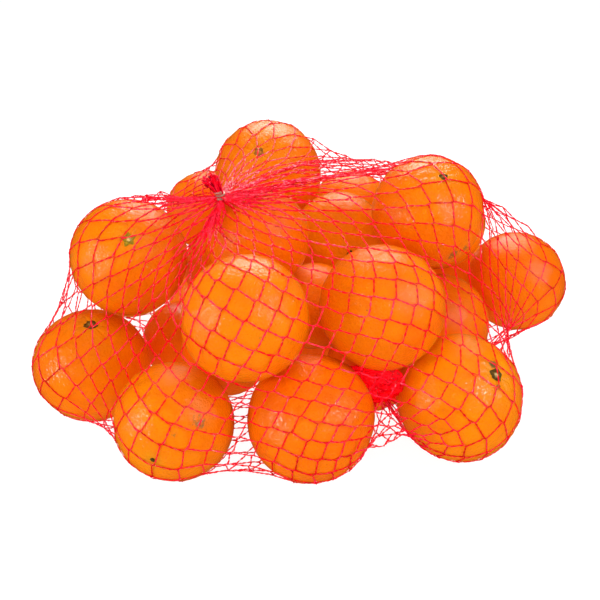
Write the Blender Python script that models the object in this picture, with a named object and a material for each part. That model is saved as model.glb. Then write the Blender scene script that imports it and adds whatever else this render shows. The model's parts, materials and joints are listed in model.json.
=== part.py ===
# A net bag of clementines, lying on its side on a table.
# The fruit is piled first, each one resting on those laid before it. The net is then drawn tight round the
# pile as one closed skin, and its gathered mouth stands on top: a bunched tail held by a bent wire clip.
# Every length below is in millimetres; the model itself is in metres, +Z up, its base on z = 0.

import math

import bmesh
import bpy
import numpy as np
from mathutils import Matrix, Vector

MM = 0.001

# net
YARN = 1.2                 # thickness of the knitted strand, under and round every fruit
SKIN_LEVEL = 5             # icosphere subdivisions of the skin
SKIN_START = 1.25          # the skin starts as an ellipsoid this much larger than the pile
DRAW_STEPS = 900           # steps in which the skin is drawn in
LONGEST_EDGE = 11.0        # an edge stretched beyond this is halved
SETTLE_STEPS = 60          # further steps after that
DRAW_PULL = 0.45           # share of the way to its neighbours that a point moves in one step
BASE_FLAT = 3.0            # what ends lower than this is pressed flat on the table

# gathered mouth
MOUTH = Vector((-46.5, -31.0, 126.5))        # middle of the clip
MOUTH_AXIS = Vector((-0.35, 0.0, 0.94)).normalized()
NECK_RADIUS = 2.1          # bunched net inside the clip
NECK_SEAT = 4.4            # radius of the knuckle of net under the clip
TAIL_LENGTH = 11.0         # from the clip to the cut end
TAIL_RADIUS = 5.2          # spread of the cut end
TAIL_PLEATS = 7
PLEAT_DEPTH = 0.28         # share of the radius, at the cut end
PLEAT_SWIRL = 2.0          # radians that the pleats turn on the way up
RAGGED = 1.3               # how uneven the cut end is
TAIL_HOLLOW = 2.5          # how far the middle of the cut end sinks in
TAIL_AROUND, TAIL_RINGS = 42, 9
WIRE_RADIUS = 0.75         # the clip's wire
WIRE_GAP = 0.35            # space left between two pieces that touch
LAP_LIFT = 0.5             # where the wire's ends cross, the ring stands out by this much
LAP_SWELL = 0.35           # and the wire is thicker by this share
LAP_WIDTH = 0.5            # half the lap's length round the ring, in radians
CLIP_AROUND, CLIP_SIDES = 36, 10

# clementines: place on the table (x, y) and diameter, in the order they are laid
BOTTOM_LAYER = [
    (-115, -33, 59), (-70, -80, 57), (-4, -80, 60), (68, -63, 61), (-2, 20, 58), (22, -30, 52),
    (68, 11, 57), (-69, -2, 50), (116, 39, 57), (-113, 76, 58), (-61, 49, 53), (-13, 76, 56),
    (39, 58, 53), (85, 84, 52),
]
MIDDLE_LAYER = [
    (-45, -38, 51), (-33, -80, 57), (29, -56, 59), (-95, -13, 59), (-72, 81, 54), (12, 22, 53),
    (20, 78, 54), (-45, 14, 54), (65, 42, 59),
]
TOP_LAYER = [(-30, -23, 51), (55, -8, 57), (-28, 60, 61)]


def clear_scene():
    for thing in list(bpy.data.objects):
        bpy.data.objects.remove(thing, do_unlink=True)


def make_material(name, colour, roughness, metallic=0.0):
    material = bpy.data.materials.new(name)
    material.use_nodes = True
    shader = material.node_tree.nodes["Principled BSDF"]
    shader.inputs["Base Color"].default_value = (*colour, 1.0)
    shader.inputs["Roughness"].default_value = roughness
    shader.inputs["Metallic"].default_value = metallic
    return material


def add_object(name, bm, material, smooth_angle=40.0):
    bmesh.ops.recalc_face_normals(bm, faces=bm.faces)
    bmesh.ops.triangulate(bm, faces=bm.faces)
    mesh = bpy.data.meshes.new(name)
    bm.to_mesh(mesh)
    bm.free()
    mesh.materials.append(material)
    mesh.shade_smooth()
    mesh.set_sharp_from_angle(angle=math.radians(smooth_angle))
    piece = bpy.data.objects.new(name, mesh)
    bpy.context.collection.objects.link(piece)
    return piece


def pile_fruit():
    """Centres and radii: each fruit is let down until it meets the floor's net or a fruit below."""
    centres, radii = [], []
    for x, y, diameter in BOTTOM_LAYER + MIDDLE_LAYER + TOP_LAYER:
        radius = diameter / 2
        height = radius + YARN
        for (cx, cy, cz), other in zip(centres, radii):
            spare = (radius + other) ** 2 - (cx - x) ** 2 - (cy - y) ** 2
            if spare > 0:
                height = max(height, cz + math.sqrt(spare))
        centres.append((x, y, height))
        radii.append(radius)
    return np.array(centres, dtype=float), np.array(radii)


def push_out(points, centres, radii):
    """Moves the points that lie inside a ball out to its surface."""
    for centre, radius in zip(centres, radii):
        away = points - centre
        reach = np.linalg.norm(away, axis=1)
        inside = reach < radius
        points[inside] = centre + away[inside] * (radius / reach[inside])[:, None]


def draw_in(bm, balls, reach, steps):
    """Pulls the skin tight: each point moves towards its neighbours, but not into a ball or the table."""
    bm.verts.index_update()
    points = np.array([v.co[:] for v in bm.verts])
    ends = np.array([(e.verts[0].index, e.verts[1].index) for e in bm.edges])
    both = np.vstack([ends, ends[:, ::-1]])
    count = np.bincount(both[:, 0], minlength=len(points))[:, None]
    for _ in range(steps):
        around = np.zeros_like(points)
        np.add.at(around, both[:, 0], points[both[:, 1]])
        points += (around / count - points) * DRAW_PULL
        points[:, 2] = np.maximum(points[:, 2], 0.0)
        push_out(points, balls, reach)
    for vert, point in zip(bm.verts, points):
        vert.co = point


def build_net(material):
    """The net as one skin, drawn in from an ellipsoid until it lies on the fruit and bridges between."""
    centres, radii = pile_fruit()
    balls = np.vstack([centres, np.array(MOUTH - MOUTH_AXIS * (NECK_SEAT + WIRE_RADIUS))])
    reach = np.append(radii + YARN, NECK_SEAT)
    low, high = (centres - radii[:, None]).min(0), (centres + radii[:, None]).max(0)
    middle, half = Vector((low + high) / 2), (high - low) / 2 * SKIN_START

    bm = bmesh.new()
    bmesh.ops.create_icosphere(bm, subdivisions=SKIN_LEVEL, radius=1.0)
    bmesh.ops.transform(bm, matrix=Matrix.Translation(middle) @ Matrix.Diagonal((*half, 1.0)), verts=bm.verts)
    draw_in(bm, balls, reach, DRAW_STEPS)
    stretched = [e for e in bm.edges if e.calc_length() > LONGEST_EDGE]
    bmesh.ops.subdivide_edges(bm, edges=stretched, cuts=1)
    bmesh.ops.triangulate(bm, faces=bm.faces)
    draw_in(bm, balls, reach, SETTLE_STEPS)

    for vert in bm.verts:
        if vert.co.z < BASE_FLAT:
            vert.co.z = 0.0
        vert.co *= MM
    return add_object("net_bag", bm, material)


def stand_on_mouth(bm):
    """Turns a shape built along +Z to the mouth's axis and carries it to the clip's middle."""
    turn = Vector((0, 0, 1)).rotation_difference(MOUTH_AXIS).to_matrix().to_4x4()
    bmesh.ops.transform(bm, matrix=Matrix.Translation(MOUTH * MM) @ turn, verts=bm.verts)


def build_tail(material):
    """The bunched end of the net: a narrow neck inside the clip, flaring to a pleated, ragged cut end."""
    foot = -WIRE_RADIUS * 0.8
    bm = bmesh.new()
    loops = []
    for i in range(TAIL_RINGS):
        rise = i / (TAIL_RINGS - 1)
        flare = NECK_RADIUS + (TAIL_RADIUS - NECK_RADIUS) * rise ** 1.4
        loop = []
        for j in range(TAIL_AROUND):
            turn = 2 * math.pi * j / TAIL_AROUND
            pleat = 1 + PLEAT_DEPTH * rise * math.cos(TAIL_PLEATS * turn + PLEAT_SWIRL * rise)
            ragged = RAGGED * rise ** 3 * math.sin(3 * turn + 1.0)
            height = foot + (TAIL_LENGTH - foot) * rise + ragged
            loop.append(bm.verts.new((flare * pleat * math.cos(turn) * MM,
                                      flare * pleat * math.sin(turn) * MM, height * MM)))
        loops.append(loop)
    for low, high in zip(loops, loops[1:]):
        for j in range(TAIL_AROUND):
            k = (j + 1) % TAIL_AROUND
            bm.faces.new((low[j], low[k], high[k], high[j]))
    bm.faces.new(loops[0][::-1])
    hub = bm.verts.new((0, 0, (TAIL_LENGTH - TAIL_HOLLOW) * MM))
    for j in range(TAIL_AROUND):
        bm.faces.new((loops[-1][j], loops[-1][(j + 1) % TAIL_AROUND], hub))
    stand_on_mouth(bm)
    return add_object("top_tail", bm, material)


def build_clip(material):
    """The wire clip: a closed ring of wire round the neck, its two ends crossing as a short raised lap."""
    ring_radius = NECK_RADIUS + WIRE_GAP + WIRE_RADIUS
    bm = bmesh.new()
    loops = []
    for i in range(CLIP_AROUND):
        turn = 2 * math.pi * i / CLIP_AROUND
        lap = math.exp(-((turn - math.pi) / LAP_WIDTH) ** 2)
        radius = ring_radius + LAP_LIFT * lap
        wire = WIRE_RADIUS * (1 + LAP_SWELL * lap)
        loop = []
        for j in range(CLIP_SIDES):
            a = 2 * math.pi * j / CLIP_SIDES
            out = radius + wire * math.cos(a)
            loop.append(bm.verts.new((out * math.cos(turn) * MM, out * math.sin(turn) * MM,
                                      wire * math.sin(a) * MM)))
        loops.append(loop)
    for i in range(CLIP_AROUND):
        here, there = loops[i], loops[(i + 1) % CLIP_AROUND]
        for j in range(CLIP_SIDES):
            k = (j + 1) % CLIP_SIDES
            bm.faces.new((here[j], there[j], there[k], here[k]))
    stand_on_mouth(bm)
    return add_object("top_clip", bm, material)


clear_scene()
build_net(make_material("red polyethylene net over orange peel", (0.9, 0.22, 0.02), 0.45))
build_tail(make_material("bunched red net", (0.5, 0.01, 0.02), 0.5))
build_clip(make_material("galvanised wire", (0.45, 0.40, 0.36), 0.35, 1.0))
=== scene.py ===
import json
import math

import bpy
import numpy as np
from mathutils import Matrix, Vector

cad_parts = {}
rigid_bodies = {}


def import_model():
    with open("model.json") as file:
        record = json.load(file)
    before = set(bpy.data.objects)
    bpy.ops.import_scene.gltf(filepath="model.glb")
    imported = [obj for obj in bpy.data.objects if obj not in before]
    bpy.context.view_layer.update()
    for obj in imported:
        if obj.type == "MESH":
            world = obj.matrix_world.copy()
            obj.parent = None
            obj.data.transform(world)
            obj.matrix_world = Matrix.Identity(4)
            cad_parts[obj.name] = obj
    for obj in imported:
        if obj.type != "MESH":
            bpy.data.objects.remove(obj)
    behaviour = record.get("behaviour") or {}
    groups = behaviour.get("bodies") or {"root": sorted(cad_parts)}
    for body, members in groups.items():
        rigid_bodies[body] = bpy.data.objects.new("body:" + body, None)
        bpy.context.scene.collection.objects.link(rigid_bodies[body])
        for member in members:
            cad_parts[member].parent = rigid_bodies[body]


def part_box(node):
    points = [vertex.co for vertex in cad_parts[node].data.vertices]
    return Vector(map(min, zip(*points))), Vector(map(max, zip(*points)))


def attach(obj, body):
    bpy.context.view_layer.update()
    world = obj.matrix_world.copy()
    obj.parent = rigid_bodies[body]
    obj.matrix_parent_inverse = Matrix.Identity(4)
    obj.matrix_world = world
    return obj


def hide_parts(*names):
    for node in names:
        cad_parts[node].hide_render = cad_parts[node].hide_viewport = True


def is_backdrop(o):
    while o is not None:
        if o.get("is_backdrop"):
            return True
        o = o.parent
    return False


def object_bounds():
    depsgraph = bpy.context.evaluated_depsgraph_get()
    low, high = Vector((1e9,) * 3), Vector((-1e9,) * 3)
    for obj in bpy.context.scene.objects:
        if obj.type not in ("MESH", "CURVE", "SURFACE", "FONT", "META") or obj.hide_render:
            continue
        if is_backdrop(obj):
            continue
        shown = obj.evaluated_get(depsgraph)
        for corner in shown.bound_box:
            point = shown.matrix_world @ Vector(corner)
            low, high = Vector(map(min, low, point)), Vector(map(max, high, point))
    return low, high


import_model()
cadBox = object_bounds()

# A red net of clementines. Shapes are worked out in millimetres and turned to metres as each mesh is made.
mm = 0.001
fullTurn = 2 * math.pi
anyPhase = (0, 6)      # where a random wave starts, in radians
tiny = 1e-9            # keeps a division from meeting zero
seeds = dict(net=11, tuft=31, fruitForm=100, fruitSkin=500)
chance = np.random.default_rng(seeds["net"])
bagMiddle = np.array((cadBox[0] + cadBox[1]) / 2) / mm
print("frame loaded: the bag is", [round(side / mm) for side in cadBox[1] - cadBox[0]], "mm")


def toLinear(code):
    # an sRGB colour such as "#FF8800" as the linear RGBA that shaders work in
    parts = [int(code[i:i + 2], 16) / 255 for i in (1, 3, 5)]
    return tuple(p / 12.92 if p <= 0.04045 else ((p + 0.055) / 1.055) ** 2.4 for p in parts) + (1.0,)


def addNode(tree, kind, inputs=None, **settings):
    # Adds a node with its settings; an input is a fixed value or another node's output to link. A Mix
    # node's two colours are its inputs 6 and 7, and the mixed colour is its output 2.
    made = tree.nodes.new("ShaderNode" + kind)
    for name, value in settings.items():
        setattr(made, name, value)
    for name, value in (inputs or {}).items():
        if isinstance(value, bpy.types.NodeSocket):
            tree.links.new(value, made.inputs[name])
        else:
            made.inputs[name].default_value = value
    return made


def newMaterial(name):
    material = bpy.data.materials.new(name)
    material.use_nodes = True
    return material, material.node_tree, material.node_tree.nodes["Principled BSDF"]


def setSockets(shader, values):
    # fixed values on the shader's own sockets
    for name, value in values.items():
        shader.inputs[name].default_value = value


def rampStops(ramp, stops):
    # stops: place and linear colour, from left to right
    while len(ramp.elements) < len(stops):
        ramp.elements.new(1.0)
    for element, (place, colour) in zip(ramp.elements, stops):
        element.position = place
        element.color = colour


def unit(vectors):
    vectors = np.asarray(vectors, float)
    return vectors / np.maximum(np.linalg.norm(vectors, axis=-1, keepdims=True), tiny)


def facing(turn, rise):
    # unit vector turned from +X and raised from level, in degrees
    turn, rise = math.radians(turn), math.radians(rise)
    return np.array([math.cos(rise) * math.cos(turn), math.cos(rise) * math.sin(turn), math.sin(rise)])


def acrossFrame(axis):
    # two unit vectors square to an axis and to each other
    side = unit(np.cross(axis, [0.0, 0.0, 1.0] if abs(axis[2]) < 0.9 else [1.0, 0.0, 0.0]))
    return side, np.cross(axis, side)


def waysRound(axis, side, over, polar, turn):
    # unit vectors a polar angle off the axis and turned round it
    return (np.cos(polar)[:, None] * axis + np.sin(polar)[:, None]
            * (np.cos(turn)[:, None] * side + np.sin(turn)[:, None] * over))


def addObject(name, data):
    made = bpy.data.objects.new(name, data)
    bpy.context.scene.collection.objects.link(made)
    return made


def makePiece(name, points, faces, materials, node, fields=None, faceMaterial=None):
    # a mesh from points in millimetres; it stands for a CAD node and rides on the bag's one body
    mesh = bpy.data.meshes.new(name)
    mesh.from_pydata((np.asarray(points) * mm).tolist(), [], [list(f) for f in faces])
    for material in materials:
        mesh.materials.append(material)
    for field, values in (fields or {}).items():
        layer = mesh.attributes.new(field, "FLOAT", "POINT")
        layer.data.foreach_set("value", np.asarray(values, np.float32))
    if faceMaterial is not None:
        mesh.polygons.foreach_set("material_index", np.asarray(faceMaterial, np.int32))
    mesh.shade_smooth()
    piece = addObject(name, mesh)
    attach(piece, "root")
    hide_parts(node)


rindLook = dict(
    deep="#F06000", bright="#F58E00", greenish="#C8A21E", blush=24.0, sway=0.9,
    glandSpacing=1.1, glandEdge=(0.05, 0.45), pit="#D84A00", pitTint=0.2, pitDepth=0.1,
    ripple=1.45, rippleDepth=0.35,
    scarBrown="#4A3A0C", scarGrey="#94783E", scarGrit=1.6, scarEdge=(0.78, 1.15), scarRoughness=0.7,
    # lit: strength of a painted glow, the rind's own colour given off as light
    roughness=0.6, ior=1.45, specular=0.04, glow=0.15, glowRadius=(3.0, 1.0, 0.25), lit=0.04,
    wax=0.9, waxRoughness=0.11, waxRipple=0.95, waxDepth=0.48,
)


def rindMaterial():
    # Clementine rind, waxed for sale: a satin gloss that oil glands about a millimetre apart break up into
    # speckle, light that soaks a little into the skin, and a colour that drifts from fruit to fruit.
    look = rindLook
    material, tree, shader = newMaterial("waxed clementine rind")
    place = addNode(tree, "TexCoord").outputs["Object"]
    tone, mark, green = [
        addNode(tree, "Attribute", attribute_name=field).outputs["Fac"]
        for field in ("tone", "mark", "green")]

    drift = addNode(tree, "TexNoise", {
        "Vector": place, "Scale": 1 / (look["blush"] * mm), "Detail": 3.0, "Roughness": 0.55})
    sway = addNode(tree, "Math", {
        0: drift.outputs["Fac"], 1: look["sway"], 2: -look["sway"] / 2}, operation="MULTIPLY_ADD")
    ripe = addNode(tree, "Math", {0: tone, 1: sway.outputs[0]}, operation="ADD", use_clamp=True)
    skin = addNode(tree, "Mix", {
        0: ripe.outputs[0], 6: toLinear(look["deep"]), 7: toLinear(look["bright"])}, data_type="RGBA")
    turning = addNode(tree, "Mix", {
        0: green, 6: skin.outputs[2], 7: toLinear(look["greenish"])}, data_type="RGBA")

    # oil glands: pin-head pits, each a shade deeper than the skin between them
    glands = addNode(tree, "TexVoronoi", {
        "Vector": place, "Scale": 1 / (look["glandSpacing"] * mm), "Smoothness": 0.6, "Randomness": 0.9},
        feature="SMOOTH_F1")
    pit = addNode(tree, "MapRange", {
        "Value": glands.outputs["Distance"], "From Min": look["glandEdge"][0],
        "From Max": look["glandEdge"][1], "To Min": 1.0, "To Max": 0.0}, interpolation_type="SMOOTHSTEP")
    pitShade = addNode(tree, "Math", {0: pit.outputs[0], 1: look["pitTint"]}, operation="MULTIPLY")
    dotted = addNode(tree, "Mix", {
        0: pitShade.outputs[0], 6: turning.outputs[2], 7: toLinear(look["pit"])}, data_type="RGBA")

    # scars and rubbed patches: the mark field, eaten away by fine noise
    grit = addNode(tree, "TexNoise", {
        "Vector": place, "Scale": 1 / (look["scarGrit"] * mm), "Detail": 4.0, "Roughness": 0.7})
    rubbed = addNode(tree, "Math", {0: mark, 1: grit.outputs["Fac"]}, operation="ADD")
    scar = addNode(tree, "MapRange", {
        "Value": rubbed.outputs[0], "From Min": look["scarEdge"][0], "From Max": look["scarEdge"][1]},
        interpolation_type="SMOOTHSTEP")
    scarTone = addNode(tree, "Mix", {
        0: grit.outputs["Fac"], 6: toLinear(look["scarBrown"]), 7: toLinear(look["scarGrey"])},
        data_type="RGBA")
    scarred = addNode(tree, "Mix", {
        0: scar.outputs[0], 6: dotted.outputs[2], 7: scarTone.outputs[2]}, data_type="RGBA")
    tree.links.new(scarred.outputs[2], shader.inputs["Base Color"])
    dull = addNode(tree, "MapRange", {
        "Value": scar.outputs[0], "To Min": look["roughness"], "To Max": look["scarRoughness"]})
    tree.links.new(dull.outputs[0], shader.inputs["Roughness"])

    ripple = addNode(tree, "TexNoise", {
        "Vector": place, "Scale": 1 / (look["ripple"] * mm), "Detail": 1.0, "Roughness": 0.4})
    swell = addNode(tree, "Bump", {
        "Height": ripple.outputs["Fac"], "Distance": look["rippleDepth"] * mm})
    pores = addNode(tree, "Bump", {
        "Height": pit.outputs[0], "Distance": look["pitDepth"] * mm,
        "Normal": swell.outputs["Normal"]}, invert=True)
    tree.links.new(pores.outputs["Normal"], shader.inputs["Normal"])

    # the wax lies over the glands in small waves, which scatter a lamp's gleam into sparkle
    waves = addNode(tree, "TexNoise", {
        "Vector": place, "Scale": 1 / (look["waxRipple"] * mm), "Detail": 0.5, "Roughness": 0.5})
    gleam = addNode(tree, "Bump", {
        "Height": waves.outputs["Fac"], "Distance": look["waxDepth"] * mm})
    tree.links.new(gleam.outputs["Normal"], shader.inputs["Coat Normal"])
    setSockets(shader, {"Coat Weight": look["wax"], "Coat Roughness": look["waxRoughness"]})

    # painted glow: the rind gives off a little light in its own colour, which lifts its
    # shaded side; it stands in for light that comes through the thin skin
    tree.links.new(scarred.outputs[2], shader.inputs["Emission Color"])
    setSockets(shader, {
        "Emission Strength": look["lit"], "IOR": look["ior"], "Specular IOR Level": look["specular"],
        "Subsurface Weight": look["glow"], "Subsurface Radius": look["glowRadius"], "Subsurface Scale": mm})
    return material


calyxLook = dict(
    body=["#BEB224", "#C67A2A", "#4A4814"], tip=["#847A10", "#7A4810", "#242808"], heart="#DCCB8C",
    grain=1.0, grainEdge=(0.32, 0.68), shade=(0.4, 1.7), relief=0.25, roughness=0.75, specular=0.15,
)


def calyxMaterial():
    # The dried calyx left on the stem end: matt and woody, olive where fresh and nearly black where old.
    look = calyxLook
    material, tree, shader = newMaterial("dried calyx")
    place = addNode(tree, "TexCoord").outputs["Object"]
    reach, age, pith = [
        addNode(tree, "Attribute", attribute_name=field).outputs["Fac"]
        for field in ("reach", "age", "pith")]
    body = addNode(tree, "ValToRGB", {"Fac": age})
    tip = addNode(tree, "ValToRGB", {"Fac": age})
    for ramp, colours in ((body, look["body"]), (tip, look["tip"])):
        rampStops(ramp.color_ramp, [(i / 2, toLinear(colour)) for i, colour in enumerate(colours)])
    aged = addNode(tree, "Mix", {
        0: reach, 6: body.outputs["Color"], 7: tip.outputs["Color"]}, data_type="RGBA")
    hearted = addNode(tree, "Mix", {
        0: pith, 6: aged.outputs[2], 7: toLinear(look["heart"])}, data_type="RGBA")
    grain = addNode(tree, "TexNoise", {
        "Vector": place, "Scale": 1 / (look["grain"] * mm), "Detail": 4.0, "Roughness": 0.7})
    shade = addNode(tree, "MapRange", {
        "Value": grain.outputs["Fac"], "From Min": look["grainEdge"][0], "From Max": look["grainEdge"][1],
        "To Min": look["shade"][0], "To Max": look["shade"][1]})
    mottled = addNode(tree, "VectorMath", {0: hearted.outputs[2], "Scale": shade.outputs[0]},
                      operation="SCALE")
    tree.links.new(mottled.outputs[0], shader.inputs["Base Color"])
    bump = addNode(tree, "Bump", {
        "Height": grain.outputs["Fac"], "Distance": look["relief"] * mm})
    tree.links.new(bump.outputs["Normal"], shader.inputs["Normal"])
    setSockets(shader, {"Roughness": look["roughness"], "Specular IOR Level": look["specular"]})
    return material


# The real yarn's drawn fibres are about 0.03 mm apart; they are drawn coarser so that they show.
yarnLook = dict(
    light="#FF2840", main="#F6081E", dark="#CA0816", patch=6.0, sway=0.6, fibre=0.12, relief=0.02,
    # lit: strength of the painted glow, the yarn's own colour given off as light
    roughness=0.12, ior=1.5, specular=0.36, glow=0.8, glowRadius=(1.0, 0.12, 0.12), glowDepth=0.5, lit=0.12,
)


def yarnMaterial(name, look):
    # Knitted polyethylene yarn, dyed through and drawn: smooth and slippery, so every twist gives a small
    # pink glint, with fine lengthwise fibres and a dye that is a little uneven. Some light passes through it,
    # and it also has a painted glow: it gives off its own colour as light, which lifts its shaded sides.
    material, tree, shader = newMaterial(name)
    place = addNode(tree, "TexCoord").outputs["Object"]
    dye = addNode(tree, "TexNoise", {
        "Vector": place, "Scale": 1 / (look["patch"] * mm), "Detail": 3.0, "Roughness": 0.6})
    tint = addNode(tree, "Attribute", attribute_name="tint").outputs["Fac"]
    uneven = addNode(tree, "Math", {
        0: dye.outputs["Fac"], 1: look["sway"], 2: -look["sway"] / 2}, operation="MULTIPLY_ADD")
    depth = addNode(tree, "Math", {0: tint, 1: uneven.outputs[0]}, operation="ADD", use_clamp=True)
    ramp = addNode(tree, "ValToRGB", {"Fac": depth.outputs[0]})
    rampStops(ramp.color_ramp, [(0.1, toLinear(look["dark"])), (0.5, toLinear(look["main"])),
                                (0.9, toLinear(look["light"]))])
    tree.links.new(ramp.outputs["Color"], shader.inputs["Base Color"])
    # painted glow: the dye colour is also given off as light, so shaded and shadowed sides stay bright
    tree.links.new(ramp.outputs["Color"], shader.inputs["Emission Color"])
    fibre = addNode(tree, "TexNoise", {
        "Vector": place, "Scale": 1 / (look["fibre"] * mm), "Detail": 1.0})
    bump = addNode(tree, "Bump", {
        "Height": fibre.outputs["Fac"], "Distance": look["relief"] * mm, "Strength": 0.6})
    tree.links.new(bump.outputs["Normal"], shader.inputs["Normal"])
    setSockets(shader, {
        "Roughness": look["roughness"], "IOR": look["ior"], "Specular IOR Level": look["specular"],
        "Emission Strength": look["lit"], "Subsurface Weight": look["glow"],
        "Subsurface Radius": look["glowRadius"], "Subsurface Scale": look["glowDepth"] * mm})
    return material


# Real drawing marks are some hundredths of a millimetre apart; they are drawn coarser so that they show.
wireLook = dict(
    bright="#E8BCA4", dull="#A4604A", stain=1.5, drawing=0.4, relief=0.04, roughness=(0.21, 0.53),
    metal=0.6,
)


def wireMaterial():
    # Soft aluminium clip wire, drawn and then bent: bright metal with drawing marks, and brown grime on it.
    look = wireLook
    material, tree, shader = newMaterial("drawn aluminium wire")
    place = addNode(tree, "TexCoord").outputs["Object"]
    stain = addNode(tree, "TexNoise", {
        "Vector": place, "Scale": 1 / (look["stain"] * mm), "Detail": 4.0, "Roughness": 0.65})
    metal = addNode(tree, "Mix", {
        0: stain.outputs["Fac"], 6: toLinear(look["dull"]), 7: toLinear(look["bright"])},
        data_type="RGBA")
    tree.links.new(metal.outputs[2], shader.inputs["Base Color"])
    scratch = addNode(tree, "TexNoise", {
        "Vector": place, "Scale": 1 / (look["drawing"] * mm), "Detail": 2.0})
    rough = addNode(tree, "MapRange", {
        "Value": scratch.outputs["Fac"], "To Min": look["roughness"][0], "To Max": look["roughness"][1]})
    tree.links.new(rough.outputs[0], shader.inputs["Roughness"])
    bump = addNode(tree, "Bump", {
        "Height": scratch.outputs["Fac"], "Distance": look["relief"] * mm, "Strength": 0.7})
    tree.links.new(bump.outputs["Normal"], shader.inputs["Normal"])
    setSockets(shader, {"Metallic": look["metal"]})
    return material


rind = rindMaterial()
calyx = calyxMaterial()
yarn = yarnMaterial("knitted polyethylene yarn", yarnLook)
# the gathered end's yarn: a more saturated copy of the yarn with a stronger painted glow, which lifts the
# shade of the hollow where it lies
gatherYarnPaintedGlow = yarnMaterial("crumpled polyethylene yarn", dict(
    yarnLook, light="#FF0A1C", main="#F8000A", dark="#C80006", specular=0.25, lit=0.13))
# the tuft's yarn: a darker copy of the same yarn, painted shade for the dense bunch, with less painted glow
tuftYarnPaintedShade = yarnMaterial("bunched polyethylene yarn", dict(
    yarnLook, light="#F6102E", main="#D2001A", dark="#84000E", specular=0.3, lit=0.04))
clipWire = wireMaterial()
print("materials made")


# The clementines in the order they were laid.
# at: place on the table and diameter (mm). stem: where the stem end faces, turned from +X and raised from
# level (degrees). flat: height over width. tone: 0 deep orange to 1 yellow orange. calyx: its radius (mm),
# age from 0 fresh to 1 black, and pith in its middle. marks: scars as turn, rise, radius (mm), strength.
# onTable: it lies under the pile.
clementines = [
    dict(at=(-115, -33, 59), stem=(-59, 78), tone=0.45, calyx=(4.2, 0.85, 0.25)),
    dict(at=(-67.5, -80, 56), stem=(-105, -6), flat=0.95, tone=0.6, calyx=(1.3, 0.95, 0.0),
         marks=[(-53, 29, 5.5, 0.5), (-102, 44, 2.2, 0.45), (-80, 23, 3.0, 0.42)]),
    dict(at=(-4, -80, 60), stem=(80, -62), flat=0.91, tone=0.3, calyx=(3.0, 0.8, 0.2)),
    dict(at=(68, -63, 61), stem=(-46, 48), flat=0.95, tone=0.72, calyx=(4.2, 0.9, 0.9),
         marks=[(-39, 58, 2.3, 0.95), (-53, 38, 2.0, 0.6)]),
    dict(at=(28, -25, 46), stem=(60, -30), tone=0.2),
    dict(at=(-2, -18, 44), stem=(40, -40), flat=0.96, tone=0.45),
    dict(at=(68, 11, 57), stem=(100, -20), flat=0.93, tone=0.35),
    dict(at=(-74, 4, 44), stem=(160, -30), flat=0.95, tone=0.25, calyx=(2.6, 0.6, 0.0)),
    dict(at=(116, 39, 57), stem=(38, 12), tone=0.3, calyx=(3.0, 0.5, 0.3)),
    dict(at=(-113, 76, 58), stem=(128, 24), flat=0.93, tone=0.55, calyx=(3.2, 0.3, 0.4)),
    dict(at=(-62, 52, 53), stem=(20, 30), tone=0.4, calyx=(2.8, 0.6, 0.0)),
    dict(at=(-13, 76, 56), stem=(84, 12), tone=0.35, calyx=(3.1, 0.7, 0.5)),
    dict(at=(39, 58, 53), stem=(-30, 40), tone=0.5, calyx=(2.8, 0.6, 0.0)),
    dict(at=(85, 84, 52), stem=(55, 38), flat=0.92, tone=0.65, calyx=(2.7, 0.9, 0.0)),
    dict(at=(-47, -30, 48), stem=(-170, -20), tone=0.25, calyx=(2.7, 0.6, 0.0)),
    dict(at=(-33, -76, 57), stem=(96, -8), flat=0.96, tone=0.5, marks=[(-72, 12, 4.0, 0.3)]),
    dict(at=(29, -56, 59), stem=(70, -24), flat=0.95, tone=0.42, marks=[(-33, 46, 3.2, 0.42)]),
    dict(at=(-95, -13, 59), stem=(-76, 42), tone=0.5, calyx=(4.5, 0.15, 0.7)),
    dict(at=(-64.5, 84, 50), stem=(100, 34), flat=0.93, tone=0.3, calyx=(3.0, 0.85, 0.0)),
    dict(at=(12, 22, 50), stem=(-77, 0), tone=0.7, calyx=(3.0, 0.9, 0.1)),
    dict(at=(22, 80, 48), stem=(75, 30), tone=0.6, calyx=(3.0, 0.4, 0.6), marks=[(110, 5, 4.5, 0.45)]),
    dict(at=(-44.6, 15.5, 55), stem=(-120, 70), tone=0.35, calyx=(2.6, 0.9, 0.2)),
    dict(at=(65, 42, 59), stem=(30, 66), flat=0.93, tone=0.45, calyx=(4.2, 0.85, 0.6)),
    dict(at=(-30, -23, 51), stem=(-94, -10), flat=0.96, tone=0.35, calyx=(1.0, 1.0, 0.0)),
    dict(at=(54.5, -8, 56), stem=(-69, 60), tone=0.42, calyx=(2.6, 0.9, 0.1),
         marks=[(-65, -28, 4.6, 0.6), (-50, -24, 3.6, 0.55)]),
    dict(at=(-27, 60, 60), stem=(-102, 43), flat=0.95, tone=0.45, calyx=(3.6, 0.5, 0.1)),
    dict(at=(-2, 20, 50), stem=(60, -30), tone=0.2, onTable=True),
]
plainFruit = dict(flat=0.94, calyx=(3.0, 0.6, 0.0), marks=[], onTable=False)      # unless stated
fruitShape = dict(
    around=84, rings=50, crowding=0.16, bulge=1.06, lumpCount=5, lump=0.006, lumpWaves=(1.8, 3.6),
    stemDimple=0.030, stemWidth=0.2, eyeDimple=0.022, eyeWidth=0.16,
    furrow=0.011, furrows=9, furrowAt=0.24, furrowWidth=0.16, furrowSway=0.6,
    skinWaves=26, skinWave=(4.0, 8.0), skinDepth=0.08,
    eyeMark=0.42, eyeMarkSize=0.9, stemGreen=0.5, stemGreenSize=6.5, greenFade=0.5,
)
floorYarn = 1.2        # the net's yarns lie between the fruit and the table


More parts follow.
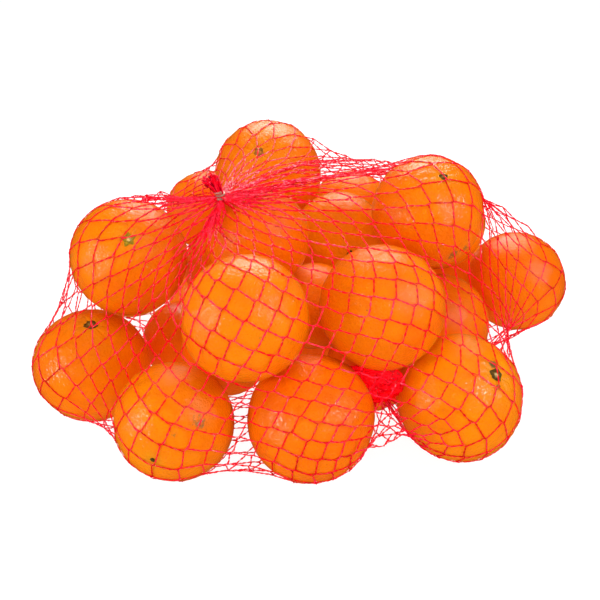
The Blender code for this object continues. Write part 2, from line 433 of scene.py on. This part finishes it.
def pileFruit():
    # each fruit is let down until it meets the table's net or a fruit below, and gets its own uneven form
    shape = fruitShape
    laid = []
    for number, own in enumerate(clementines):
        fruit = dict(plainFruit, **own)
        x, y, diameter = fruit["at"]
        radius = diameter / 2
        height = radius + floorYarn
        for other in [] if fruit["onTable"] else laid:
            reach = radius + other["radius"]
            spare = reach ** 2 - (other["middle"][0] - x) ** 2 - (other["middle"][1] - y) ** 2
            if spare > 0:
                height = max(height, other["middle"][2] + math.sqrt(spare))
        draw = np.random.default_rng(seeds["fruitForm"] + number)
        lumps = unit(draw.normal(size=(shape["lumpCount"], 3)))
        lumps = lumps * draw.uniform(*shape["lumpWaves"], (shape["lumpCount"], 1))
        phases = draw.uniform(0, fullTurn, shape["lumpCount"])
        laid.append(dict(fruit, radius=radius, middle=np.array([x, y, height], float),
                         axis=facing(*fruit["stem"]), lumps=lumps, phases=phases))
    return laid


def peelReach(fruit, ways):
    # how far the peel is from the fruit's middle along unit vectors, in mm
    up = ways @ fruit["axis"]
    reach = fruit["radius"] / np.sqrt(1 + up * up * (1 / fruit["flat"] ** 2 - 1))
    swell = np.sin(ways @ fruit["lumps"].T + fruit["phases"]).sum(-1) * fruitShape["lump"]
    return reach * (1 + swell)


def peelFaces(around, rings):
    # quads between the rings, and a fan of triangles at the stem end and at the eye
    index = np.arange(around * rings).reshape(rings, around)
    here, beside = index[:-1], np.roll(index[:-1], -1, axis=1)
    below, corner = index[1:], np.roll(index[1:], -1, axis=1)
    faces = np.stack([here, below, corner, beside], -1).reshape(-1, 4).tolist()
    stemEnd, eye = around * rings, around * rings + 1
    faces += [(stemEnd, index[0, j], index[0, (j + 1) % around]) for j in range(around)]
    faces += [(eye, index[-1, (j + 1) % around], index[-1, j]) for j in range(around)]
    return faces


def makeClementine(number, fruit):
    # rings from the stem end to the eye, closer together at both ends
    shape = fruitShape
    own = np.random.default_rng(seeds["fruitSkin"] + number)
    side, over = acrossFrame(fruit["axis"])
    share = np.arange(1, shape["rings"]) / shape["rings"]
    polar = math.pi * (share - shape["crowding"] * np.sin(fullTurn * share) / fullTurn * 2)
    turn = fullTurn * np.arange(shape["around"]) / shape["around"]
    polar, turn = [grid.ravel() for grid in np.meshgrid(polar, turn, indexing="ij")]
    polar = np.concatenate([polar, [0.0, math.pi]])
    turn = np.concatenate([turn, [0.0, 0.0]])
    fromEye = math.pi - polar
    ways = waysRound(fruit["axis"], side, over, polar, turn)

    # the peel dips at both ends, puckers into furrows round the stem, and is a little wavy all over
    stemDip = shape["stemDimple"] * np.exp(-(polar / shape["stemWidth"]) ** 2)
    eyeDip = shape["eyeDimple"] * np.exp(-(fromEye / shape["eyeWidth"]) ** 2)
    reach = peelReach(fruit, ways) * (1 - stemDip - eyeDip)
    start, swayStart = own.uniform(*anyPhase), own.uniform(*anyPhase)
    sway = shape["furrowSway"] * np.sin(turn * 2 + swayStart)
    creases = np.abs(np.sin(turn * shape["furrows"] / 2 + start + sway))
    nearStem = np.exp(-((polar - shape["furrowAt"]) / shape["furrowWidth"]) ** 2)
    reach *= 1 - shape["furrow"] * (1 - creases) ** 2 * nearStem
    waves = unit(own.normal(size=(shape["skinWaves"], 3))) * fullTurn
    waves = waves / own.uniform(*shape["skinWave"], (shape["skinWaves"], 1))
    points = ways * reach[:, None]
    relief = np.sin(points @ waves.T + own.uniform(0, 6.28, shape["skinWaves"])).sum(1)
    relief = relief / math.sqrt(shape["skinWaves"]) * shape["skinDepth"]
    points = points + ways * relief[:, None] + fruit["middle"]

    mark = np.zeros(len(points))
    for markTurn, markRise, size, strength in fruit["marks"]:
        distance = np.arccos(np.clip(ways @ facing(markTurn, markRise), -1, 1)) * fruit["radius"]
        mark = np.maximum(mark, strength * np.exp(-(distance / size) ** 2))
    eyeMark = np.exp(-(fromEye * fruit["radius"] / shape["eyeMarkSize"]) ** 2)
    mark = np.maximum(mark, shape["eyeMark"] * eyeMark)
    green = shape["stemGreen"] * np.exp(-(polar * fruit["radius"] / shape["stemGreenSize"]) ** 2)
    green = green * (1 - shape["greenFade"] * fruit["tone"])

    # the calyx is part of the fruit's mesh, with its own material
    star, starFaces, starReach, starPith = calyxStar(fruit, side, over, own)
    count, starCount = len(points), len(star)
    fields = dict(
        tone=np.full(count + starCount, fruit["tone"]), age=np.full(count + starCount, fruit["calyx"][1]),
        mark=np.append(mark, np.zeros(starCount)), green=np.append(green, np.zeros(starCount)),
        reach=np.append(np.zeros(count), starReach), pith=np.append(np.zeros(count), starPith))
    faces = peelFaces(shape["around"], shape["rings"] - 1)
    faceMaterial = [0] * len(faces) + [1] * len(starFaces)
    faces += [tuple(corner + count for corner in face) for face in starFaces]
    makePiece(f"clementine_{number + 1:02d}", np.vstack([points, star]), faces, [rind, calyx],
              "net_bag", fields, faceMaterial)


starShape = dict(
    around=40, rings=9, lobes=5, waist=(0.58, 0.86), lopsided=0.12, ragged=0.13, bumps=(3, 5, 8),
    stubSize=1.5, thick=0.15, rise=0.55, button=1.15, buttonShare=0.6, hollow=0.3, wrinkle=0.12, wrinkles=7,
    heart=0.35, sunk=0.7,
)


def calyxStar(fruit, side, over, own):
    # A five-pointed star pressed onto the stem dimple, with a raised button where the stalk broke off. Its
    # points wear away as it ages, and a stub has none. Its rim and its underside are sunk into the peel.
    shape = starShape
    around = shape["around"]
    size, age, heart = fruit["calyx"]
    turn = fullTurn * np.arange(around) / around
    lobe = 1 - np.abs(np.sin(turn * shape["lobes"] / 2 + own.uniform(*anyPhase)))
    waist = 1.0 if size < shape["stubSize"] else np.interp(age, [0, 1], shape["waist"])
    lopsided = 1 + shape["lopsided"] * np.sin(turn + own.uniform(*anyPhase))
    outline = size * (waist + (1 - waist) * lobe) * lopsided
    for bumps in shape["bumps"]:
        outline *= 1 + shape["ragged"] * age * np.sin(bumps * turn + own.uniform(*anyPhase)) * 2 / bumps
    button = min(shape["button"], size * shape["buttonShare"])
    points, reach, pith = [], [], []
    for ring in range(1, shape["rings"] + 1):
        step = ring / shape["rings"]
        away = outline * step
        raised = np.exp(-(away / button) ** 4)
        dent = np.exp(-(away / (button * 0.5)) ** 2)
        lift = shape["thick"] + shape["rise"] * raised - shape["hollow"] * dent
        lift = lift + shape["wrinkle"] * np.sin(turn * shape["wrinkles"] + ring) * step
        if ring == shape["rings"]:
            lift = np.full(around, -shape["sunk"])
        angle = away / fruit["radius"]
        ways = waysRound(fruit["axis"], side, over, angle, turn)
        dimple = 1 - fruitShape["stemDimple"] * np.exp(-(angle / fruitShape["stemWidth"]) ** 2)
        points.append(fruit["middle"] + ways * (peelReach(fruit, ways) * dimple + lift)[:, None])
        reach.append(np.full(around, step))
        pith.append(heart * raised)
    ground = peelReach(fruit, fruit["axis"][None])[0] * (1 - fruitShape["stemDimple"])
    points.append((fruit["middle"] + fruit["axis"] * (ground + shape["heart"]))[None])
    points.append((fruit["middle"] + fruit["axis"] * (ground - shape["sunk"]))[None])
    top = around * shape["rings"]
    faces = []
    for j in range(around):
        k = (j + 1) % around
        faces.append((top, j, k))
        faces += [(r * around + j, (r + 1) * around + j, (r + 1) * around + k, r * around + k)
                  for r in range(shape["rings"] - 1)]
        faces.append((top + 1, top - around + k, top - around + j))
    reach = np.append(np.concatenate(reach), [0.0, 1.0])
    pith = np.append(np.concatenate(pith), [heart, 0.0])
    return np.vstack(points), faces, reach, pith


pile = pileFruit()
for number, fruit in enumerate(pile):
    makeClementine(number, fruit)
print(len(pile), "clementines laid")


# The net is a diamond mesh from the clipped mouth to the gathered end, pulled tight over the pile.
clipLow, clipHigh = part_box("top_clip")
mouth = np.array((clipLow + clipHigh) / 2) / mm + [1.2, -1.5, -3.0]
mouthAxis = unit([-0.35, 0.0, 0.94])
net = dict(
    columns=48, rows=34, cell=12.5, slackTo=0.6, pull=0.2, steps=600, settle=0.9, grip=0.4,
    passes=3, eager=1.5, spreading=0.5, topPace=4, uneven=0.05,
    roomBeside=2.4, roomAtNeck=0.7, clearance=0.6, neck=2.0, neckSpread=(0.25, 1.1), neckDepth=(0.6, 3.4),
    drawn=0.35, drawnRows=8, foldAt=47.3, foldReach=3.2, foldRows=2, foldSnug=(0.3, 0.9),
    gatherAt=(28, -64, 37), gatherNeck=2.6, gatherAxis=(0.1, -0.5, -0.8),
    startMiddle=(0, 0, 62), startHalf=(175, 140, 95), startGather=(26, -70, -20),
)


def pushOut(points, clearance, before=None, grip=0.0):
    # points inside a fruit or the table go out to its surface; grip holds back their slide
    for fruit in pile:
        away = points - fruit["middle"]
        distance = np.linalg.norm(away, axis=1)
        near = distance < fruit["radius"] * fruitShape["bulge"] + clearance
        if not near.any():
            continue
        ways = away[near] / distance[near, None]
        surface = peelReach(fruit, ways) + clearance
        inside = distance[near] < surface
        chosen = np.flatnonzero(near)[inside]
        placed = fruit["middle"] + ways[inside] * surface[inside, None]
        if grip:
            slide = placed - before[chosen]
            slide -= (slide * ways[inside]).sum(1, keepdims=True) * ways[inside]
            placed = placed - slide * grip
            out = unit(placed - fruit["middle"])
            placed = fruit["middle"] + out * (peelReach(fruit, out) + clearance)[:, None]
        points[chosen] = placed
    points[:, 2] = np.maximum(points[:, 2], clearance)


# The net is stiff enough to stand out over some hollows; there it stays outside these rods (mm).
rods = [
    dict(thick=8.0, path=[(-10.0, 67.0, 118.0), (7.9, 58.4, 109.0), (21.7, 52.0, 105.0),
                          (41.8, 46.0, 104.5)]),
    dict(thick=7.0, path=[(-14.0, -8.0, 121.0), (10.0, 48.0, 107.0)]),
    dict(thick=7.0, path=[(-8.0, -22.0, 120.0), (44.0, 28.0, 104.0)]),
    dict(thick=7.0, path=[(84.2, 40.5, 102.0), (102.6, 38.5, 80.4), (121.5, 40.5, 66.2)]),
    dict(thick=7.0, path=[(-97.0, -2.8, 104.5), (-88.0, 17.0, 97.8), (-80.7, 47.0, 90.5)]),
    dict(thick=6.0, path=[(104.0, 5.0, 27.0), (97.5, -35.0, 34.0)]),
    dict(thick=5.0, path=[(12.0, -82.0, 4.0), (30.0, -61.5, 4.0), (48.0, -58.5, 4.0)]),
]


def standOut(points):
    legs = [(rod["thick"], *leg) for rod in rods for leg in zip(rod["path"], rod["path"][1:])]
    for thick, start, end in legs:
        along = np.array(end) - start
        share = np.clip((points - start) @ along / (along @ along), 0, 1)
        nearest = start + share[:, None] * along
        away = points - nearest
        inside = np.linalg.norm(away, axis=1) < thick
        points[inside] = nearest[inside] + unit(away[inside]) * thick


def startNet():
    # Nodes on an ellipsoid round the pile, along circles through both ends of the net. Each row is half a
    # mesh on from the row before, so a node meets the next row's nodes of its own and the previous column.
    columns, rows = net["columns"], net["rows"]
    middle, half = np.array(net["startMiddle"], float), np.array(net["startHalf"], float)
    first = unit((mouth - middle) / half)
    last = unit((np.array(net["startGather"]) - middle) / half)
    between, chord = unit(first + last), unit(first - last)
    across = np.cross(chord, between)
    grid = np.zeros((rows + 1, columns, 3))
    for column in range(columns):
        turn = fullTurn * (column + 0.5) / columns
        equator = math.cos(turn) * between + math.sin(turn) * across
        one, two = first - last, equator - last
        normal = np.cross(one, two)
        toCentre = np.cross(normal, one) * (two @ two) + np.cross(two, normal) * (one @ one)
        centre = last + toCentre / (2 * normal @ normal)
        along = unit(first - centre)
        square = np.cross(unit(normal), along)
        radius = np.linalg.norm(first - centre)
        angles = [math.atan2((p - centre) @ square, (p - centre) @ along) % fullTurn
                  for p in (equator, last)]
        sweep = angles[1] if angles[1] > angles[0] else angles[1] - fullTurn
        steps = np.linspace(0, sweep, rows + 1)[:, None]
        grid[:, column] = centre + radius * (np.cos(steps) * along + np.sin(steps) * square)
    for row in range(rows + 1):
        whole, part = row // 2, (row % 2) / 2
        grid[row] = (1 - part) * np.roll(grid[row], -whole, 0) + part * np.roll(grid[row], -whole - 1, 0)
    return middle + unit(grid) * half


def ringRound(centre, axis, toward, radius):
    away = np.asarray(toward - centre)
    away = away - np.outer(away @ axis, axis)
    return centre + unit(away) * radius


def spans(points, pairs):
    # from the first node of each pair to the second, and how far that is
    span = points[pairs[:, 1]] - points[pairs[:, 0]]
    return span, np.linalg.norm(span, axis=1) + tiny


def shared(pairs, shift, count):
    # what each node gets of its pairs' shifts: the first node goes forward, and the second back
    return np.stack([
        np.bincount(pairs[:, 0], shift[:, a], count) - np.bincount(pairs[:, 1], shift[:, a], count)
        for a in range(3)], 1)


def pullTight():
    # strands pull nodes together, a row's neighbours keep apart, and fruit, table and rods hold them out
    columns, rows = net["columns"], net["rows"]
    grid = startNet()
    gatherAxis = unit(net["gatherAxis"])
    spreadIn = chance.uniform(*net["neckSpread"], (columns, 1))
    lowered = chance.uniform(*net["neckDepth"], (columns, 1))
    grid[0] = ringRound(mouth - mouthAxis * lowered, mouthAxis, grid[1], net["neck"] * spreadIn)
    grid[-1] = ringRound(np.array(net["gatherAt"], float), gatherAxis, grid[-2], net["gatherNeck"])
    points = grid.reshape(-1, 3).copy()
    index = np.arange(len(points)).reshape(rows + 1, columns)
    ends = np.concatenate([
        np.stack([index[:-1].ravel(), index[1:].ravel()], 1),
        np.stack([index[:-1].ravel(), np.roll(index[1:], 1, axis=1).ravel()], 1)])
    lengths = net["cell"] * (1 + net["uneven"] * chance.normal(size=len(ends)))
    toEnd = np.clip((ends[:, 0] // columns - rows + net["drawnRows"]) / net["drawnRows"], 0, 1)
    lengths *= 1 - net["drawn"] * toEnd
    held = np.concatenate([index[0], index[-1]])
    beside = np.stack([index[1:-1].ravel(), np.roll(index[1:-1], -1, axis=1).ravel()], 1)
    inner = np.arange(1, rows)
    fromEnd = np.minimum(inner, rows - inner)
    room = np.repeat(np.minimum(net["roomBeside"], net["roomAtNeck"] * (1 + fromEnd)), columns)

    # a fold just below the mouth, where a few columns stay bunched up like a rope
    turned = np.arange(columns)[None] + 1 + inner[:, None] / 2 - net["foldAt"]
    fromFold = np.abs((turned + columns / 2) % columns - columns / 2)
    folded = ((fromFold < net["foldReach"]) & (inner[:, None] <= net["foldRows"])).ravel()
    room[folded] = net["foldSnug"][0]
    snug = np.where(folded, net["foldSnug"][1], np.inf)

    anchors = points[held].copy()
    meeting = np.bincount(ends.ravel(), minlength=len(points))[:, None]
    speed = np.zeros_like(points)
    for _ in range(net["steps"]):
        before = points.copy()
        speed *= net["settle"]
        points = points + speed
        for _ in range(net["passes"]):
            span, length = spans(points, ends)
            excess = np.maximum(length - lengths, 0)
            excess += np.clip(length - net["slackTo"] * lengths, -1, None) * net["pull"]
            shift = span * (excess / length * 0.5)[:, None]
            points += shared(ends, shift, len(points)) / meeting * net["eager"]
            span, length = spans(points, beside)
            apart = np.minimum(length - room, 0) + np.maximum(length - snug, 0)
            shift = span * (apart / length * 0.5)[:, None]
            points += shared(beside, shift, len(points)) * net["spreading"]
            points[held] = anchors
        standOut(points)
        pushOut(points, net["clearance"], before, net["grip"])
        points[held] = anchors
        speed = points - before
        pace = np.linalg.norm(speed, axis=1, keepdims=True)
        speed *= np.minimum(1, net["topPace"] / np.maximum(pace, tiny))
    return points.reshape(rows + 1, columns, 3)


strand = dict(
    yarn=0.3, thin=0.42, twists=(0.9, 1.5), sides=4, samples=12, pitch=4.4, spread=0.2,
    windIn=8, windFrom=0.3, splay=1.2, splayVary=(0.65, 1.3), longSplit=2.8, shortSplit=1.8,
    splitVary=(0.7, 1.3), splitShare=(0.1, 0.6), legBend=1.4, overlap=0.5, clearance=0.24,
    bands=4, bulk=0.45, bulkRows=2.5,
)


def sweepTubes(paths, radius, sides, thin=1.0, twists=(0.0, 0.0)):
    # closed tubes along many paths of equal sample count; thin flattens them to tape, and twists gives how
    # many turns the tape makes on its way; paths is (tubes, samples, 3)
    tubes, samples, _ = paths.shape
    roll = chance.uniform(0, fullTurn, tubes)[:, None]
    roll = roll + fullTurn * chance.uniform(*twists, tubes)[:, None] * np.linspace(0, 1, samples)
    tangent = unit(np.gradient(paths, axis=1))
    normal = unit(np.cross(tangent[:, 0], [0.31, 0.52, 0.79]))      # any way that few tubes run along
    rings = []
    for s in range(samples):
        normal = unit(normal - (normal * tangent[:, s]).sum(1, keepdims=True) * tangent[:, s])
        other = np.cross(tangent[:, s], normal)
        thick = radius if np.isscalar(radius) else radius[:, s, None]
        wide = np.cos(roll[:, s, None]) * normal + np.sin(roll[:, s, None]) * other
        high = np.cross(tangent[:, s], wide) * thin
        rings.append(np.stack([
            paths[:, s] + (math.cos(a) * wide + math.sin(a) * high) * thick
            for a in fullTurn * np.arange(sides) / sides], 1))
    points = np.stack(rings, 1).reshape(-1, 3)
    index = np.arange(tubes * samples * sides).reshape(tubes, samples, sides)
    a, b = index[:, :-1], index[:, 1:]
    walls = np.stack([a, np.roll(a, -1, 2), np.roll(b, -1, 2), b], -1).reshape(-1, 4)
    caps = np.concatenate([index[:, 0, ::-1], index[:, -1]])
    tints = dict(tint=np.repeat(chance.uniform(0, 1, tubes), samples * sides))
    return points, walls.tolist() + caps.tolist(), tints


def bandRows(band, rows):
    return np.arange(band * rows // strand["bands"], (band + 1) * rows // strand["bands"])


def knitNet(grid):
    # Every strand is two yarns wound round each other. Before a junction they part: one goes to the start
    # of the left outgoing strand and one to the right, so a small triangle opens on each side.
    rows, columns = grid.shape[0] - 1, grid.shape[1]
    down = unit(grid[1:] - grid[:-1])
    left = unit(np.roll(grid[1:], 1, axis=1) - grid[:-1])
    splay = strand["splay"] * chance.uniform(*strand["splayVary"], (rows, columns, 1))
    rightStart = np.concatenate([grid[:-1] + down * splay, grid[-1:]])
    leftStart = np.concatenate([grid[:-1] + left * splay, grid[-1:]])
    rightStart[0] = leftStart[0] = grid[0]
    bands = [[] for _ in range(strand["bands"])]
    share = np.linspace(0, 1, strand["samples"])
    for family, splitBefore in enumerate((strand["longSplit"], strand["shortSplit"])):
        start = (leftStart if family else rightStart)[:-1]
        node, ends = grid[1:], [leftStart[1:], rightStart[1:]]
        if family:
            node, ends = np.roll(node, 1, axis=1), [np.roll(end, 1, axis=1) for end in ends]
        split = splitBefore * chance.uniform(*strand["splitVary"], (rows, columns))
        span = np.linalg.norm(node - start, axis=-1)
        splitShare = 1 - np.clip(split / np.maximum(span, 1e-6), *strand["splitShare"])
        straight = ends[family]
        centre = start[:, :, None] * (1 - share)[:, None] + straight[:, :, None] * share[:, None]
        phase = chance.uniform(0, fullTurn, (rows, columns, 1))
        phase = phase + share * (span / strand["pitch"])[..., None] * fullTurn
        parted = np.clip((share - splitShare[..., None]) / (1 - splitShare[..., None]), 0, 1)
        outward = unit(centre - bagMiddle)
        tangent = unit(straight - start)[:, :, None]
        across = unit(np.cross(np.broadcast_to(tangent, centre.shape), outward))
        rise = np.cross(across, tangent)
        windIn = np.minimum(1, share * strand["windIn"] + strand["windFrom"])
        wound = (strand["spread"] * windIn * (1 - parted))[..., None]
        for yarnSide in (0, 1):
            swing = (phase + math.pi * yarnSide)[..., None]
            leg = (ends[yarnSide] - straight)[:, :, None] * (parted ** strand["legBend"])[..., None]
            path = centre + leg + wound * (np.cos(swing) * across + np.sin(swing) * rise)
            path = path.reshape(-1, 3).copy()
            pushOut(path, strand["clearance"])
            path = path.reshape(rows, columns, -1, 3)
            if family == 1 and yarnSide == 0:      # this leg crosses over the other family's
                path = path + outward * (strand["overlap"] * np.sin(math.pi * parted))[..., None]
            for band in range(strand["bands"]):
                bands[band].append(path[bandRows(band, rows)].reshape(-1, strand["samples"], 3))
    for band, paths in enumerate(bands):
        # the yarns bunch up and look thicker near the mouth
        fromMouth = bandRows(band, rows)[:, None, None] + np.zeros((1, columns, strand["samples"]))
        thick = strand["yarn"] * (1 + strand["bulk"] * np.exp(-fromMouth / strand["bulkRows"]))
        thick = np.tile(thick.reshape(-1, strand["samples"]), (len(paths), 1))
        points, faces, tints = sweepTubes(
            np.concatenate(paths), thick, strand["sides"], strand["thin"], strand["twists"])
        makePiece(f"net_band_{band + 1}", points, faces, [yarn], "net_bag", tints)


netGrid = pullTight()
knitNet(netGrid)
print("net pulled tight and knitted")


# The gathered end: the net's other mouth, drawn together and crumpled into the hollow between four fruits.
gather = dict(
    at=(25.5, -69.5, 44), half=(14.0, 8.0, 9.5), folds=250, samples=26, yarn=0.4, sides=4, turns=(1.2, 3.0),
    size=(0.45, 1.0), ruffle=0.35, ruffles=2.7, sizeMost=1.05, drift=0.5, wander=0.35, wanders=3,
)


def makeGather():
    # closed-up loops and folds that fill an ellipsoid: each path circles a tilted axis and wavers
    count = gather["folds"]
    share = np.linspace(0, 1, gather["samples"])[None, :]
    axis = unit(chance.normal(size=(count, 3)))
    side = unit(np.cross(axis, unit(chance.normal(size=(count, 3)))))
    over = np.cross(axis, side)
    turn = share * chance.uniform(*gather["turns"], (count, 1))
    turn = fullTurn * (turn + chance.uniform(0, 1, (count, 1)))
    size = chance.uniform(*gather["size"], (count, 1))
    ruffle = np.sin(turn * gather["ruffles"] + chance.uniform(*anyPhase, (count, 1)))
    size = np.minimum(size * (1 + gather["ruffle"] * ruffle), gather["sizeMost"])
    drift = chance.uniform(-gather["drift"], gather["drift"], (count, 1))
    wander = np.sin(gather["wanders"] * share + chance.uniform(*anyPhase, (count, 1)))
    drift = drift + gather["wander"] * wander
    reach = np.sqrt(np.clip(1 - drift ** 2, 0.1, 1)) * size
    paths = (drift[..., None] * axis[:, None] + (reach * np.cos(turn))[..., None] * side[:, None]
             + (reach * np.sin(turn))[..., None] * over[:, None])
    paths = (np.array(gather["at"], float) + paths * np.asarray(gather["half"])).reshape(-1, 3)
    pushOut(paths, gather["yarn"])
    points, faces, tints = sweepTubes(paths.reshape(count, -1, 3), gather["yarn"], gather["sides"])
    makePiece("net_gather", points, faces, [gatherYarnPaintedGlow], "net_bag", tints)


# The mouth: the yarns run up through the clip and stand out of it as a short, frayed tuft.
tuft = dict(
    yarns=260, samples=14, neck=1.6, below=3.0, length=(7.0, 10.6), yarn=0.31, sides=4, spike=2.0,
    spikeShare=0.06, flare=2.9, flarePower=0.35, spread=0.8, spreadPower=1.5, curl=0.25, curlPower=3,
    swirl=0.9, swirlVary=(0.3, 1.0), waver=0.4, wavers=(6, 14), lean=(-0.43, 0.0, 0.9), leanPower=1.3,
)


def makeTuft():
    own = np.random.default_rng(seeds["tuft"])
    side, over = acrossFrame(mouthAxis)
    count, samples = tuft["yarns"], tuft["samples"]
    share = np.linspace(0, 1, samples)[None, :]
    length = own.uniform(*tuft["length"], (count, 1))
    length[own.uniform(0, 1, (count, 1)) < tuft["spikeShare"]] += tuft["spike"]
    flare = own.uniform(0, 1, (count, 1)) ** tuft["flarePower"] * tuft["flare"]
    turn = own.uniform(0, fullTurn, (count, 1))
    turn = turn + tuft["swirl"] * share * own.uniform(*tuft["swirlVary"], (count, 1))
    neck = tuft["neck"] * np.sqrt(own.uniform(0, 1, (count, 1)))
    height = -tuft["below"] + share * (tuft["below"] + length)
    opened = np.clip(height / length, 0, 1)
    out = neck + (flare * tuft["spread"]) * opened ** tuft["spreadPower"]
    wave = share * own.uniform(*tuft["wavers"], (count, 1)) + own.uniform(*anyPhase, (count, 1))
    waver = tuft["waver"] * opened * np.sin(wave)
    height = height - flare * tuft["curl"] * opened ** tuft["curlPower"]
    bend = (unit(tuft["lean"]) - mouthAxis) * (np.clip(height, 0, None) ** tuft["leanPower"])[..., None]
    paths = (mouth + height[..., None] * mouthAxis + bend + ((out + waver) * np.cos(turn))[..., None] * side
             + ((out - waver) * np.sin(turn))[..., None] * over)
    points, faces, tints = sweepTubes(paths, tuft["yarn"], tuft["sides"])
    makePiece("net_tuft", points, faces, [tuftYarnPaintedShade], "top_tail", tints)


# The clip: a short length of soft wire wound a little over twice round the neck.
clip = dict(
    wire=0.55, ring=1.75, turns=2.3, startTurn=0.45, rise=3.6, samples=90, sides=12, tilt=0.6, endsOut=0.35,
    dents=0.06, dentWaves=40, endThick=0.7,
)


def makeClip():
    side, over = acrossFrame(mouthAxis)
    share = np.linspace(0, 1, clip["samples"])
    turn = fullTurn * clip["turns"] * (share - 0.5) + fullTurn * clip["startTurn"]
    radius = clip["ring"] + clip["endsOut"] * np.abs(2 * share - 1) ** 3
    height = clip["rise"] * (share - 0.5) + clip["tilt"] * np.sin(turn)
    path = (mouth + height[:, None] * mouthAxis + (radius * np.cos(turn))[:, None] * side
            + (radius * np.sin(turn))[:, None] * over)
    thick = clip["wire"] * (1 + clip["dents"] * np.sin(share * clip["dentWaves"]))
    thick[0] = thick[-1] = clip["wire"] * clip["endThick"]
    points, faces, _ = sweepTubes(path[None], thick[None], clip["sides"])
    makePiece("wire_clip", points, faces, [clipWire], "top_clip")


makeGather()
makeTuft()
makeClip()
print("gathered end, tuft and clip made")


# Floor and wall glow evenly, like a lit white sweep, so the shadows stay faint. Sizes are in metres.
stage = dict(
    floorSize=4.0, floorColour="#7C7C7C", floorGlow=0.95, wallRadius=1.9, wallHeight=3.0, wallSides=48,
    wallColour="#000000", wallGlow=1.1, roughness=0.9, world="#FFFFFF", worldLight=0.32,
)
# place and size in mm, power in watts. glossy=False: a fill that shows in no gloss. netOnly: lights no fruit.
lights = [
    dict(name="overhead softbox", place=(40, 710, 665), size=(700, 540), power=7.6),
    dict(name="left softbox", place=(-800, -450, 260), size=(150, 210), power=2.6),
    dict(name="right softbox", place=(640, -410, 520), size=(140, 190), power=2.4),
    dict(name="front fill", place=(-40, -900, 620), size=(500, 400), power=2.75, glossy=False),
    dict(name="top fill", place=(0, -170, 900), size=(500, 400), power=2.65, glossy=False),
    dict(name="left yarn glint", place=(-280, -720, 560), size=(110, 80), power=2.2, netOnly=True),
    dict(name="right yarn glint", place=(260, -700, 500), size=(110, 80), power=2.2, netOnly=True),
]
shot = dict(aim=(-9, -35.5, 0), distance=430, rise=28, lens=52.8, nearest=10)


def stageSheet(name, points, faces, finish, colour, glow):
    mesh = bpy.data.meshes.new(name)
    mesh.from_pydata(points, [], faces)
    material, _, shader = newMaterial(finish)
    setSockets(shader, {
        "Base Color": toLinear(colour), "Roughness": stage["roughness"], "Specular IOR Level": 0.0,
        "Emission Color": toLinear(stage["world"]), "Emission Strength": glow})
    mesh.materials.append(material)
    sheet = addObject(name, mesh)
    sheet.visible_glossy = False
    sheet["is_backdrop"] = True
    return sheet


def makeStage():
    half = stage["floorSize"] / 2
    corners = [(-half, -half, 0), (half, -half, 0), (half, half, 0), (-half, half, 0)]
    stageSheet("white_floor", corners, [(0, 1, 2, 3)], "lit white sweep", stage["floorColour"],
               stage["floorGlow"])

    # a white wall all round, for the eye only: it gives no light and shows in no gloss
    count = stage["wallSides"]
    turn = fullTurn * np.arange(count) / count
    circle = np.stack([np.cos(turn), np.sin(turn)], 1) * stage["wallRadius"]
    points = [(x, y, z) for z in (0, stage["wallHeight"]) for x, y in circle.tolist()]
    faces = [(j, (j + 1) % count, (j + 1) % count + count, j + count) for j in range(count)]
    wall = stageSheet("white_wall", points, faces, "lit white wall", stage["wallColour"], stage["wallGlow"])
    wall.visible_diffuse = wall.visible_transmission = wall.visible_shadow = False

    world = bpy.data.worlds.new("soft room")
    bpy.context.scene.world = world
    world.use_nodes = True
    world.cycles_visibility.glossy = False
    background = world.node_tree.nodes["Background"]
    setSockets(background, {"Color": toLinear(stage["world"]), "Strength": stage["worldLight"]})


def makeLights():
    netPieces = bpy.data.collections.new("net pieces")
    for piece in bpy.data.objects:
        if piece.name.startswith(("net_band_", "net_gather", "net_tuft")):
            netPieces.objects.link(piece)
    for setting in lights:
        lamp = bpy.data.lights.new(setting["name"], "AREA")
        lamp.shape = "RECTANGLE"
        lamp.size, lamp.size_y = [side * mm for side in setting["size"]]
        lamp.energy = setting["power"]
        holder = addObject(setting["name"], lamp)
        holder.visible_glossy = setting.get("glossy", True)
        if setting.get("netOnly"):
            holder.light_linking.receiver_collection = netPieces
        holder.location = Vector(setting["place"]) * mm
        aim = Vector(bagMiddle) * mm - holder.location
        holder.rotation_euler = aim.to_track_quat("-Z", "Y").to_euler()


def makeCamera():
    camera = bpy.data.cameras.new("camera")
    camera.lens = shot["lens"]
    camera.clip_start = shot["nearest"] * mm
    holder = addObject("camera", camera)
    rise = math.radians(shot["rise"])
    aim = Vector(bagMiddle + shot["aim"]) * mm
    holder.location = aim + Vector((0, -math.cos(rise), math.sin(rise))) * shot["distance"] * mm
    holder.rotation_euler = (math.pi / 2 - rise, 0, 0)
    bpy.context.scene.camera = holder
    bpy.context.scene.view_settings.view_transform = "Standard"


makeStage()
makeLights()
makeCamera()
print("stage, lights and camera set")
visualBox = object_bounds()
for label, box in (("CAD box", cadBox), ("visual box", visualBox)):
    print(label, [[round(v, 4) for v in corner] for corner in box])
